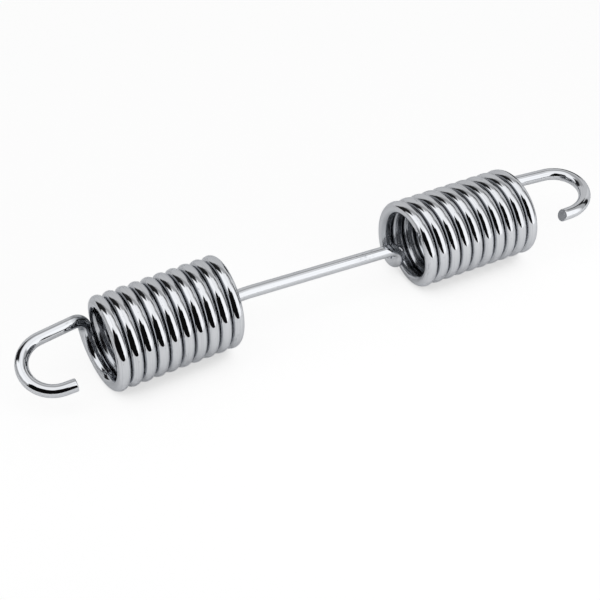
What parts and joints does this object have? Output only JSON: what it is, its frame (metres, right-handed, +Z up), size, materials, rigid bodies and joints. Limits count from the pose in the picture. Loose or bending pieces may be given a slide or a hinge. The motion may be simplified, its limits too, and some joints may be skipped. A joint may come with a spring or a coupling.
{
  "type": "double coil return spring",
  "caption": "Extension spring of round plated steel wire: close coils of opposite hand on a straight link, with an open hook at each end to pull two levers together.",
  "frame": {"origin": "on the surface the spring lies on, under the middle of its length and width", "axes": "+X runs from the left hook to the right hook along the right coil, +Y runs away from the hook tips, +Z is up from the surface"},
  "size_m": [0.2456, 0.0386, 0.0361],
  "materials": {
    "plated_wire": "bright polished plating with fine scratches and small pits"
  },
  "bodies": {
    "root": {"return_spring": "plated_wire"}
  },
  "joints": []
}
